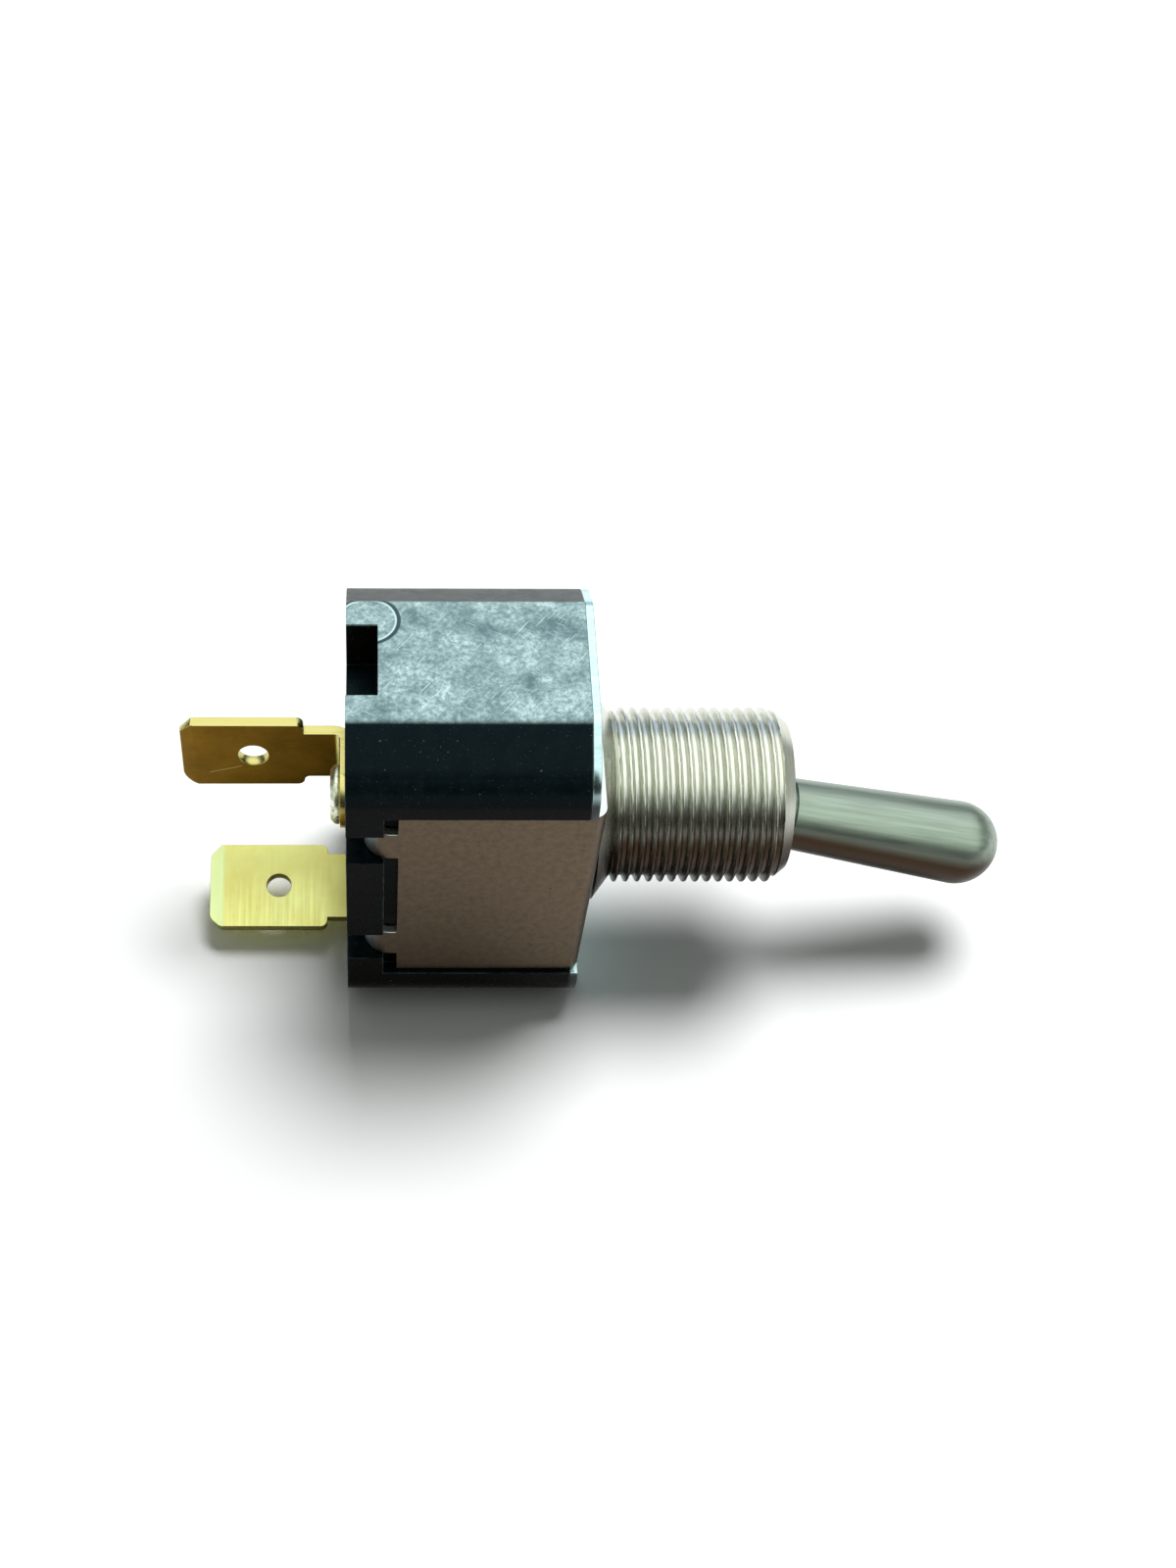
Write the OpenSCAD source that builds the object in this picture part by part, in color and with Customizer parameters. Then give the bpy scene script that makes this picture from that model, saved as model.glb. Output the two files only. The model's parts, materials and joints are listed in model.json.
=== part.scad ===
// Panel toggle switch, single pole, two quick-connect terminals.
// The frame strap's front face is the mounting face and lies in X = 0.
// +X runs along the bushing towards the lever tip, +Z is the long side of the case.

/* [Case] */
// Long side of the case, along Z
case_h = 27.8; // [24:0.1:40]
// Short side of the case, along Y
case_w = 17.7; // [16:0.1:24]
// Depth of the case behind the cover plate
case_depth = 15.4; // [15:0.1:24]
// Width of the flat on each narrow end
end_flat_w = 9.7; // [7:0.1:11]
// Slope of the facet beside that flat, in degrees
corner_slope = 32; // [20:1:45]
// Radius where the facet meets the wide side
corner_r = 3; // [1:0.1:4]
// Radius where the facet meets the narrow end
edge_r = 1.2; // [0.3:0.1:2]
// Thickness of the rear wall
rear_wall = 2; // [1.6:0.1:3]
// Thickness of the end walls
end_wall = 1.8; // [1.5:0.1:3]
// Thickness of the side walls behind the strap
side_wall = 1.7; // [1:0.05:2.5]
// Radius in the corners of the cavity
cavity_r = 2; // [0.5:0.1:3]
// Gap between the strap's rear edge and the raised lips behind it
lip_gap = 0.9; // [0.2:0.05:1.5]
// Width of the terminal notch in each narrow end
notch_w = 5.9; // [5.2:0.1:8]
// Depth of that notch from the rear face
notch_depth = 2.05; // [1:0.05:2.4]
// Depth of the notch at the end that holds no terminal, open to the cavity
open_notch_in = 3.9; // [2.5:0.1:4.5]
// Depth of the notch beside the end blade
blade_notch_in = 1.5; // [0.8:0.1:1.6]
// Slope of the grooves for the strap's ears, in degrees
groove_slope = 42; // [38:1:45]
// Clearance beside an ear in its groove
groove_side = 0.15; // [0.05:0.05:0.3]
// Width of the moulded pad under the rocker's free arm
pad_w = 4; // [3:0.1:6]
// Height of that pad along Z
pad_h = 2; // [1:0.1:3]

/* [Cover and insulator] */
// Thickness of the cover plate
cover_t = 0.55; // [0.5:0.05:1.2]
// Thickness of the fibre insulator
insulator_t = 0.4; // [0.2:0.1:0.8]
// How far the insulator reaches over the case's rabbet
insulator_lap = 0.5; // [0.4:0.1:1]

/* [Frame strap] */
// Thickness of the strap
strap_t = 0.65; // [0.5:0.05:0.8]
// Height of the strap, along Z
strap_h = 17.3; // [14:0.1:19]
// Outer radius of the strap's bends
strap_bend_r = 0.9; // [0.85:0.05:1.6]
// Distance from the mounting face to the rear edge of the side plates
strap_len = 13.25; // [12:0.05:15]
// How far the side plates lie below the wide sides of the case
strap_inset = 0.3; // [0:0.05:0.6]
// Width of a crimped ear
ear_w = 2.5; // [1.5:0.1:3.5]
// Distance of the ears from the middle
ear_z = 5.5; // [4:0.1:6.5]
// Outer radius of an ear's bend
ear_r = 1.75; // [1.2:0.05:2.2]
// Straight length of an ear before its bend
ear_straight = 0.45; // [0.2:0.05:1]
// Angle of an ear's bend
ear_angle = 80; // [45:1:88]

/* [Bushing] */
// Outside diameter of the thread, 15/32 inch
thread_d = 11.9; // [11:0.1:14]
// Length of the bushing in front of the mounting face
bushing_len = 13.1; // [12.4:0.1:16]
// Diameter of the conical foot
foot_d = 14.3; // [12.4:0.1:15]
// Height of the conical foot
foot_h = 1.2; // [0.3:0.05:1.5]
// Pitch of the thread, 32 threads to the inch
thread_pitch = 0.794; // [0.6:0.001:1.2]
// Depth of the thread
thread_depth = 0.42; // [0.3:0.01:0.45]
// Width of the flat on a thread's crest
crest_w = 0.1; // [0.06:0.01:0.15]
// Axial length of the nose chamfer
nose_len = 1.1; // [0.5:0.1:2]
// Radial depth of the nose chamfer
nose_drop = 0.87; // [0.3:0.01:0.95]
// Radius of the mouth
mouth_r = 4.7; // [4.6:0.05:4.9]
// Radius of the opening in front of the ball seat
throat_r = 3.35; // [3.2:0.05:3.5]
// Radius of the spigot through the strap
spigot_r = 5.5; // [5.3:0.1:6]
// Radius of the staked lip behind the strap
stake_r = 6.1; // [5.9:0.1:7]
// Thickness of the staked lip
stake_t = 0.45; // [0.3:0.05:0.5]
// Radius of the bore at its inner end
tail_r = 4.85; // [4.7:0.05:5]
// Radial wall left behind the pivot pin's slots
slot_wall = 0.5; // [0.3:0.05:0.8]

/* [Lever] */
// Distance of the pivot in front of the mounting face
pivot_x = 6.25; // [5.9:0.05:7.4]
// Total throw of the lever, in degrees
lever_throw = 30.5; // [20:0.5:31]
// Distance from the pivot to the tip
lever_len = 23.5; // [18:0.5:40]
// Diameter of the handle at its inner end
handle_root_d = 4.9; // [4.4:0.1:5]
// Diameter of the handle at its tip
handle_tip_d = 5.86; // [5:0.02:8]
// Distance from the pivot to the handle's shoulder
shoulder_s = 7.6; // [7.5:0.1:9]
// Diameter of the neck inside the bushing
neck_d = 4.4; // [3.6:0.1:4.5]
// Diameter of the pivot ball
ball_d = 7.5; // [6.8:0.1:7.6]
// Clearance between the ball and its seat
ball_gap = 0.3; // [0.2:0.05:0.4]
// Diameter of the stem behind the ball
stem_d = 4.8; // [4:0.1:4.8]
// Distance from the pivot to the end of the stem
stem_len = 9.8; // [8:0.1:12]
// Diameter of the pivot pin
pin_d = 1.6; // [1.2:0.1:2]
// Clearance of the pivot pin in its slots
pin_gap = 0.05; // [0.03:0.01:0.1]

/* [Plunger and spring] */
// Diameter of the plunger
plunger_d = 3; // [2.4:0.1:3.2]
// Clearance around the plunger in the stem
plunger_gap = 0.05; // [0.03:0.01:0.1]
// Distance from the pivot to the bottom of the stem's bore
bore_floor = 1.6; // [1.4:0.1:3]
// Distance from the pivot to the back of the plunger
plunger_back = 6.2; // [5:0.1:8]
// Wire diameter of the spring
wire_d = 0.4; // [0.25:0.05:0.5]
// Number of turns of the spring
spring_turns = 6; // [4:1:8]
// Gap between the plunger's nose and the rocker at mid throw
nose_gap = 0.15; // [0.05:0.05:0.3]

/* [Contacts] */
// Thickness of the rocker strip
rocker_t = 0.9; // [0.6:0.1:1.2]
// Width of the rocker strip
rocker_w = 5; // [4:0.1:5.4]
// Height of the rocker's top face above its pivot
rocker_rise = 0.58; // [0.45:0.01:0.9]
// Half of the rocker's throw, and the angle of its arms
rocker_half = 8; // [5:0.5:9]
// Length of the free arm
free_arm = 6.2; // [5:0.1:8]
// Radius of the rocker's trunnions
trunnion_r = 0.42; // [0.3:0.02:0.5]
// Clearance of the trunnions in the cradle
trunnion_gap = 0.05; // [0.03:0.01:0.1]
// Diameter of the contact buttons
contact_d = 3.4; // [2.4:0.1:4]
// Thickness of each contact button
contact_t = 0.9; // [0.5:0.1:1.2]
// Gap that is left between the closed contacts
contact_gap = 0.15; // [0.05:0.05:0.3]
// Distance of the fixed contact from its blade
contact_rise = 3.15; // [2.8:0.05:3.6]
// Metal left beyond each contact button
contact_margin = 0.1; // [0.05:0.05:0.5]
// Thickness of the cradle
cradle_t = 0.8; // [0.6:0.1:1]
// Side clearance between the rocker and the cradle's ears
cradle_side = 0.4; // [0.3:0.1:0.8]
// Height of the cradle along Z
cradle_h = 5.2; // [4.6:0.1:6]
// Width of the cradle's ears along Z
cradle_ear_w = 3.2; // [2.4:0.1:4]
// Height of the cradle's ears above the rocker's pivot
cradle_ear_rise = 0.9; // [0.6:0.1:1.4]

/* [Terminals] */
// Width of both quick-connect blades, 1/4 inch
blade_w = 6.35; // [4.8:0.05:6.35]
// Thickness of both blades
blade_t = 0.8; // [0.5:0.1:1]
// Length of the wide part of both blades
blade_len = 8.45; // [7:0.05:10]
// Cut at the corners of the blade tips
blade_corner = 0.75; // [0.4:0.05:1.5]
// Length of the coined bevel at the tips
bevel_len = 1; // [0.5:0.1:1.5]
// Depth of that bevel on each face
bevel_depth = 0.2; // [0.1:0.05:0.25]
// Distance of the blade holes from the tips
hole_s = 4.95; // [3:0.05:6]
// Diameter of the hole in the centre blade
centre_hole_d = 2.1; // [1.4:0.1:2.5]
// Diameter of the hole in the end blade
end_hole_d = 1.8; // [1.4:0.1:2.5]
// Distance of the centre blade from the middle, along Y
centre_y = 3.35; // [3:0.05:4.5]
// Length of the centre blade's neck
centre_neck_len = 2.5; // [1.5:0.1:4]
// Width of the centre blade's neck and foot
centre_neck_w = 4.6; // [4.2:0.1:5.5]
// Inner radius of the terminals' bends
bend_in = 0.4; // [0.2:0.1:0.8]
// Depth of the foot's pocket in the rear face
pocket = 0.3; // [0.1:0.1:0.6]
// Distance of the end blade from the narrow end of the case
end_in = 2.9; // [2.8:0.05:4]
// Tilt of the end blade about X, in degrees
end_tilt = 13; // [0:1:15]
// Length of the end blade's neck outside the case
end_neck_len = 1.5; // [1:0.1:3]
// Width of the end blade's neck
end_neck_w = 4.9; // [4:0.1:5.2]
// Clearance of the end terminal in its slot
slot_gap = 0.1; // [0.05:0.05:0.2]
// Diameter of the rivet's outer head
rivet_head_d = 4.1; // [3.4:0.1:4.5]
// Thickness of the rivet's outer head
rivet_head_t = 0.65; // [0.4:0.05:1]
// Diameter of the rivet's shank
rivet_d = 2.4; // [1.8:0.1:3]
// Diameter of the rivet's closed end
rivet_tail_d = 3.6; // [3:0.1:4.4]
// Thickness of the rivet's closed end
rivet_tail_t = 0.5; // [0.3:0.1:0.8]

/* [Hidden] */
$fn = 64;
eps = 0.05;

// planes across X
front_x = -strap_t - cover_t;
rear_x = front_x - case_depth;
lip_x = -strap_len - lip_gap;
floor_x = rear_x + rear_wall;
cover_x = -strap_t;

// the strap's side plates
plate_y = case_w/2 - strap_inset;
recess_y = plate_y - strap_t;
recess_gap = 0.1;
cavity_w = 2*(recess_y - side_wall);
cavity_h = case_h - 2*end_wall;

// lever at rest on its lower stop
rest_tilt = lever_throw/2;
seat_r = ball_d/2 + ball_gap;
root_r = thread_d/2 - thread_depth;
slot_r = root_r - slot_wall;
flank_w = thread_depth*tan(30);
pin_len = 2*slot_r - 0.3;
bore_r = plunger_d/2 + plunger_gap;

// rocker and plunger
rocker_x = floor_x + blade_t + 2*contact_t + contact_gap + rocker_t - rocker_rise;
vertex = rocker_rise/cos(rocker_half);
nose_s = pivot_x - rocker_x - (rocker_rise + plunger_d/2 + nose_gap)/cos(rocker_half);

// places of the end terminal's blade and contact
end_z = case_h/2 - end_in;
contact_y = -contact_rise*sin(end_tilt);
contact_z = -end_z + contact_rise*cos(end_tilt);
contact_s = -contact_z - vertex*sin(rocker_half);
button_edge = contact_d/2 + contact_margin;

// 2D shapes on the (Y, Z) plane are pushed out along +X
module out_x(x0, x1) {
    translate([x0, 0, 0]) rotate([90, 0, 90]) linear_extrude(height = x1 - x0) children();
}

// solids of revolution about Z turn to point along +X
module about_x(x = 0) {
    translate([x, 0, 0]) rotate([0, 90, 0]) children();
}

// the handle's own axis points from the pivot to the tip
module on_lever() {
    translate([pivot_x, 0, 0]) rotate([0, 90 + rest_tilt, 0]) children();
}

// the rocker's frame is its pivot, with its free arm pressed back at rest
module on_rocker() {
    translate([rocker_x, 0, 0]) rotate([0, -rocker_half, 0]) children();
}

// the end terminal is twisted a little about the line of its blade
module on_end_blade() {
    translate([0, 0, -end_z]) rotate([end_tilt, 0, 0]) children();
}

// what rounding takes off a corner: c is the arc's centre, and the angles are where it
// leaves the two straight sides
module corner_cut(c, r, a0, a1) {
    far = 1.5*r/cos((a1 - a0)/2);
    translate(c) difference() {
        polygon([[0, 0], 1.5*r*[cos(a0), sin(a0)], far*[cos((a0 + a1)/2), sin((a0 + a1)/2)],
                 1.5*r*[cos(a1), sin(a1)]]);
        circle(r = r);
    }
}

// case outline: flat ends, sloping facets and round corners
module case_outline() {
    half_w = case_w/2;
    half_h = case_h/2;
    flat = end_flat_w/2;
    low_z = half_h - (half_w - flat)*tan(corner_slope);
    edge_y = flat - edge_r*tan(corner_slope/2);
    side_z = low_z - corner_r*tan(45 - corner_slope/2);
    difference() {
        polygon([[flat, half_h], [half_w, low_z], [half_w, -low_z], [flat, -half_h],
                 [-flat, -half_h], [-half_w, -low_z], [-half_w, low_z], [-flat, half_h]]);
        for (y = [0, 1], z = [0, 1]) mirror([y, 0]) mirror([0, z]) {
            corner_cut([edge_y, half_h - edge_r], edge_r, 90 - corner_slope, 90);
            corner_cut([half_w - corner_r, side_z], corner_r, 0, 90 - corner_slope);
        }
    }
}

module rounded_rect(w, h, r) {
    square([w - 2*r, h], center = true);
    square([w, h - 2*r], center = true);
    for (y = [-1, 1], z = [-1, 1])
        translate([y*(w/2 - r), z*(h/2 - r)]) circle(r = r);
}

// long hole along the second axis
module long_hole(half_len, r) {
    square([2*r, 2*(half_len - r)], center = true);
    for (z = [-1, 1]) translate([0, z*(half_len - r)]) circle(r = r);
}

// what the strap takes out of each wide side, from a given distance off the middle
module strap_recess(x0, x1, y0) {
    for (y = [-1, 1])
        translate([(x0 + x1)/2, y*(y0 + case_w/2), 0])
            cube([x1 - x0, case_w, strap_h + 2*recess_gap], center = true);
}

// grooves for the crimped ears, each with a sloping floor for the ear to grip
module ear_grooves() {
    start = -strap_len - ear_straight + 0.05;
    end = rear_x - eps;
    groove_w = ear_w + 2*groove_side;
    for (y = [-1, 1], z = [-1, 1])
        translate([0, 0, z*ear_z - groove_w/2])
            linear_extrude(height = groove_w)
                polygon([[start, y*recess_y], [end, y*(recess_y - (start - end)*tan(groove_slope))],
                         [end, y*case_w], [start, y*case_w]]);
}

module case() {
    stop_x = rocker_x + rocker_rise - rocker_t - 0.3;
    pad_z = free_arm - pad_h;
    color("#22282b") {
        difference() {
            out_x(rear_x, front_x) case_outline();
            out_x(floor_x, front_x + eps) rounded_rect(cavity_w, cavity_h, cavity_r);
            out_x(front_x - insulator_t, front_x + eps)
                rounded_rect(cavity_w + 2*insulator_lap, cavity_h + 2*insulator_lap, cavity_r + insulator_lap);
            strap_recess(lip_x, front_x + eps, recess_y);
            ear_grooves();
            end_notch(open_notch_in);
            mirror([0, 0, 1]) end_notch(blade_notch_in);
            foot_pocket();
            about_x(rear_x - eps) cylinder(d = rivet_d, h = rear_wall + 2*eps);
            on_end_blade() terminal_slot();
        }
        // moulded pad that the free arm of the rocker comes to rest on
        translate([floor_x - eps, -pad_w/2, pad_z]) cube([stop_x - floor_x + eps, pad_w, pad_h]);
    }
}

// notch in the rear corner of the +Z end
module end_notch(depth_z) {
    translate([rear_x - eps, -notch_w/2, case_h/2 - depth_z])
        cube([notch_depth + eps, notch_w, depth_z + eps]);
}

// slot through the rear wall, relieved inside for the terminal's bend
module terminal_slot() {
    w = end_neck_w + 2*slot_gap;
    translate([rear_x - eps, -w/2, -blade_t/2 - slot_gap])
        cube([rear_wall + 2*eps, w, blade_t + 2*slot_gap]);
    translate([floor_x - bend_in - slot_gap, -w/2, 0])
        cube([bend_in + slot_gap + eps, w, blade_t/2 + bend_in + slot_gap]);
}

// shallow pocket that keeps the centre terminal's foot from turning
module foot_pocket() {
    w = centre_neck_w + 2*slot_gap;
    out_x(rear_x - eps, rear_x + pocket) {
        circle(d = w);
        translate([0, -w/2]) square([centre_y + blade_t + slot_gap, w]);
    }
}

module cover_plate() {
    color("#c9d6d8") difference() {
        out_x(front_x, cover_x) case_outline();
        strap_recess(front_x - eps, cover_x + eps, recess_y - strap_bend_r + strap_t);
        about_x(front_x - eps) cylinder(r = stake_r + 0.2, h = cover_t + 2*eps);
    }
}

module insulator() {
    sweep = (pivot_x - front_x + insulator_t)*tan(rest_tilt) + stem_d/2/cos(rest_tilt);
    lap = insulator_lap - 0.1;
    color("#6d6152") difference() {
        out_x(front_x - insulator_t, front_x)
            rounded_rect(cavity_w + 2*lap, cavity_h + 2*lap, cavity_r + lap);
        out_x(front_x - insulator_t - eps, front_x + eps) long_hole(sweep + 0.4, stem_d/2 + 0.4);
    }
}

// U strap, folded over the cover plate and down both wide sides
module frame() {
    r_in = strap_bend_r - strap_t;
    color("#7d756a") {
        difference() {
            translate([0, 0, -strap_h/2]) linear_extrude(height = strap_h) difference() {
                union() {
                    translate([-strap_len, -plate_y]) square([strap_len - strap_bend_r, 2*plate_y]);
                    translate([-strap_bend_r - eps, -plate_y + strap_bend_r])
                        square([strap_bend_r + eps, 2*(plate_y - strap_bend_r)]);
                    for (y = [-1, 1])
                        translate([-strap_bend_r, y*(plate_y - strap_bend_r)]) circle(r = strap_bend_r);
                }
                translate([-strap_len - eps, -recess_y])
                    square([strap_len + eps - strap_bend_r, 2*recess_y]);
                translate([-strap_bend_r - eps, -recess_y + r_in])
                    square([r_in + eps, 2*(recess_y - r_in)]);
                for (y = [-1, 1])
                    translate([-strap_bend_r, y*(recess_y - r_in)]) circle(r = r_in);
            }
            about_x(-strap_t - eps) cylinder(r = spigot_r, h = strap_t + 2*eps);
        }
        for (y = [-1, 1], z = [-1, 1])
            translate([-strap_len, y*plate_y, z*ear_z]) mirror([0, y > 0 ? 0 : 1, 0]) ear();
    }
}

// one ear, crimped inwards over the case's shoulder
module ear() {
    translate([0, 0, -ear_w/2]) linear_extrude(height = ear_w) {
        translate([-ear_straight, -strap_t]) square([ear_straight + eps, strap_t]);
        translate([-ear_straight, -ear_r]) intersection() {
            difference() {
                circle(r = ear_r);
                circle(r = ear_r - strap_t);
            }
            polygon([[0, 0], [0, 2*ear_r], [-3*ear_r, 2*ear_r],
                     [-3*ear_r*sin(ear_angle), 3*ear_r*cos(ear_angle)]]);
        }
    }
}

module bushing() {
    throat_x = pivot_x + sqrt(seat_r*seat_r - throat_r*throat_r);
    nose_x = bushing_len - nose_len;
    last_x = nose_x - crest_w;
    turns = floor((last_x - flank_w - foot_h)/thread_pitch);
    tail_x = cover_x - stake_t;
    r = thread_d/2;
    flare_x = pivot_x - seat_r - 0.3;
    color("#9a9d8c") difference() {
        about_x() rotate_extrude() difference() {
            polygon(concat(
                [[0, tail_x], [stake_r, tail_x], [stake_r, cover_x], [spigot_r, cover_x],
                 [spigot_r, 0], [foot_d/2, 0], [root_r, foot_h]],
                [for (i = [turns:-1:1]) each thread_turn(last_x - i*thread_pitch)],
                [[r, last_x], [r, nose_x], [r - nose_drop, bushing_len], [0, bushing_len]]));
            polygon([[0, tail_x - eps], [tail_r, tail_x - eps], [seat_r, flare_x],
                     [seat_r, pivot_x], [0, pivot_x]]);
            translate([0, pivot_x]) circle(r = seat_r);
            polygon([[0, throat_x - 1], [throat_r, throat_x - 1], [throat_r, throat_x],
                     [mouth_r, bushing_len], [mouth_r, bushing_len + eps], [0, bushing_len + eps]]);
        }
        pin_slots(tail_x - eps);
    }
}

// rings at the thread's pitch stand for its helix; each turn starts with its crest
function thread_turn(x) = [
    [thread_d/2, x], [thread_d/2, x + crest_w], [root_r, x + crest_w + flank_w],
    [root_r, x + thread_pitch - flank_w]];

// two slots from the inner end, round where the pivot pin turns
module pin_slots(x0) {
    r = pin_d/2 + pin_gap;
    translate([pivot_x, 0, 0]) rotate([90, 0, 0]) cylinder(r = r, h = 2*slot_r, center = true);
    translate([x0, -slot_r, -r]) cube([pivot_x - x0, 2*slot_r, 2*r]);
}

// bat handle, neck, ball and stem, turned from one bar
module lever() {
    r_tip = handle_tip_d/2;
    s_tip = lever_len - r_tip;
    color("#a8aa98") on_lever() difference() {
        union() {
            translate([0, 0, s_tip]) sphere(r = r_tip);
            translate([0, 0, shoulder_s])
                cylinder(r1 = handle_root_d/2, r2 = r_tip, h = s_tip - shoulder_s);
            cylinder(d = neck_d, h = shoulder_s);
            sphere(d = ball_d);
            translate([0, 0, -stem_len]) cylinder(d = stem_d, h = stem_len);
        }
        translate([0, 0, -stem_len - eps]) cylinder(r = bore_r, h = stem_len - bore_floor + eps);
        rotate([90, 0, 0]) cylinder(d = pin_d, h = 2*ball_d, center = true);
    }
}

module pivot_pin() {
    color("#b9bdbf") on_lever() rotate([90, 0, 0]) cylinder(d = pin_d, h = pin_len, center = true);
}

module plunger() {
    color("#e6e1d2") on_lever() {
        translate([0, 0, -nose_s]) sphere(d = plunger_d);
        translate([0, 0, -nose_s]) cylinder(d = plunger_d, h = nose_s - plunger_back);
    }
}

// wire swept along a helix; a ring of points for every step
module plunger_spring() {
    sides = 8;
    steps = 18;
    gap = 0.1;
    r_mid = bore_r - wire_d/2 - gap;
    low = bore_floor + wire_d/2 + gap;
    high = plunger_back - wire_d/2 - gap;
    count = spring_turns*steps;
    points = [for (i = [0:count], k = [0:sides - 1])
        let (a = 360*i/steps, b = 360*k/sides, r = r_mid + wire_d/2*cos(b))
        [r*cos(a), r*sin(a), -low - (high - low)*i/count + wire_d/2*sin(b)]];
    sides_faces = [for (i = [0:count - 1], k = [0:sides - 1])
        [i*sides + k, i*sides + (k + 1)%sides, (i + 1)*sides + (k + 1)%sides, (i + 1)*sides + k]];
    ends = [[for (k = [sides - 1:-1:0]) k], [for (k = [0:sides - 1]) count*sides + k]];
    color("#8f9496") on_lever() polyhedron(points, concat(sides_faces, ends));
}

// one arm of the rocker, bent forward from the vertex; turn is +1 for the free arm
module rocker_arm(turn, len) {
    translate([vertex, 0, 0]) rotate([0, turn*rocker_half, 0]) mirror([0, 0, turn > 0 ? 0 : 1])
        translate([-rocker_t, -rocker_w/2, -rocker_t*tan(rocker_half)])
            cube([rocker_t, rocker_w, len + rocker_t*tan(rocker_half)]);
}

module contact_rocker() {
    reach = rocker_w/2 + cradle_side + cradle_t;
    color("#b4703f") on_rocker() {
        rocker_arm(1, free_arm);
        rocker_arm(-1, contact_s + button_edge);
        rotate([90, 0, 0]) cylinder(r = trunnion_r, h = 2*reach, center = true);
    }
}

// slightly crowned contact button on a flat seat, its face towards -X
module button() {
    crown = 0.2;
    about_x() mirror([0, 0, 1]) {
        cylinder(d = contact_d, h = contact_t - crown);
        translate([0, 0, contact_t - crown])
            cylinder(d1 = contact_d, d2 = contact_d - 4*crown, h = crown);
    }
}

module moving_contact() {
    color("#d8dadb") on_rocker() translate([vertex, 0, 0]) rotate([0, -rocker_half, 0])
        translate([-rocker_t, 0, -contact_s]) button();
}

module fixed_contact() {
    color("#d8dadb") translate([floor_x + blade_t, contact_y, contact_z]) mirror([1, 0, 0]) button();
}

// bracket with two ears; the trunnions lie in their open slots
module cradle() {
    half = rocker_w/2 + cradle_side;
    top = rocker_x + cradle_ear_rise;
    r = trunnion_r + trunnion_gap;
    color("#c9a24a") difference() {
        union() {
            translate([floor_x, -half - cradle_t, -cradle_h/2])
                cube([cradle_t, 2*(half + cradle_t), cradle_h]);
            for (y = [-1, 1])
                translate([floor_x, y > 0 ? half : -half - cradle_t, -cradle_ear_w/2])
                    cube([top - floor_x, cradle_t, cradle_ear_w]);
        }
        rotate([90, 0, 0]) translate([rocker_x, 0, 0]) cylinder(r = r, h = case_w, center = true);
        translate([rocker_x, -case_w/2, -r]) cube([top - rocker_x + eps, case_w, 2*r]);
        about_x(floor_x - eps) cylinder(d = rivet_d, h = cradle_t + 2*eps);
    }
}

// outline of a quick-connect blade with its neck, in its own plane: the neck starts at 0
// and the blade runs towards -X
module blade_outline(neck_len, neck_w) {
    tip = -neck_len - blade_len;
    half = blade_w/2;
    r = 0.5;
    translate([-neck_len - r, -neck_w/2]) square([neck_len + r, neck_w]);
    polygon([[tip, half - blade_corner], [tip + blade_corner, half],
             [-neck_len - r, half], [-neck_len, half - r],
             [-neck_len, r - half], [-neck_len - r, -half],
             [tip + blade_corner, -half], [tip, blade_corner - half]]);
    for (y = [-1, 1]) translate([-neck_len - r, y*(half - r)]) circle(r = r);
}

// blade with its hole and the coined bevel on both faces of its tip
module blade(neck_len, neck_w, hole_d) {
    tip = -neck_len - blade_len;
    difference() {
        linear_extrude(height = blade_t) blade_outline(neck_len, neck_w);
        translate([tip + hole_s, 0, -eps]) cylinder(d = hole_d, h = blade_t + 2*eps);
        for (side = [0, 1]) translate([tip, 0, side*blade_t]) mirror([0, 0, side])
            rotate([90, 0, 0]) linear_extrude(height = 2*blade_w, center = true)
                polygon([[-eps, -eps], [bevel_len, -eps], [bevel_len, 0], [0, bevel_depth],
                         [-eps, bevel_depth]]);
    }
}

// quarter ring between two flat stretches of bent strip
module bend(width) {
    linear_extrude(height = width, center = true) intersection() {
        difference() {
            circle(r = bend_in + blade_t);
            circle(r = bend_in);
        }
        square(bend_in + blade_t);
    }
}

// foot under the rivet, bend and blade that stands off the rear face
module centre_terminal() {
    foot_x = rear_x + pocket;
    bend_x = foot_x - blade_t - bend_in;
    bend_y = centre_y - bend_in;
    color("#a98a3c") {
        difference() {
            out_x(foot_x - blade_t, foot_x) {
                circle(d = centre_neck_w);
                translate([0, -centre_neck_w/2]) square([bend_y, centre_neck_w]);
            }
            about_x(foot_x - blade_t - eps) cylinder(d = rivet_d, h = blade_t + 2*eps);
        }
        translate([bend_x, bend_y, 0]) bend(centre_neck_w);
        translate([bend_x, centre_y, 0]) rotate([-90, 0, 0])
            blade(centre_neck_len - bend_in, centre_neck_w, centre_hole_d);
    }
}

// blade through the rear wall, bent up inside as a foot for the fixed contact
module end_terminal() {
    bend_x = floor_x - bend_in;
    color("#d9d47e") on_end_blade() {
        translate([rear_x, 0, -blade_t/2]) blade(end_neck_len, end_neck_w, end_hole_d);
        translate([rear_x - eps, -end_neck_w/2, -blade_t/2])
            cube([floor_x - bend_in - rear_x + eps, end_neck_w, blade_t]);
        translate([bend_x, 0, blade_t/2 + bend_in]) rotate([-90, 0, 0]) bend(end_neck_w);
        translate([floor_x, -end_neck_w/2, blade_t/2 + bend_in])
            cube([blade_t, end_neck_w, contact_rise + button_edge - blade_t/2 - bend_in]);
    }
}

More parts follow.
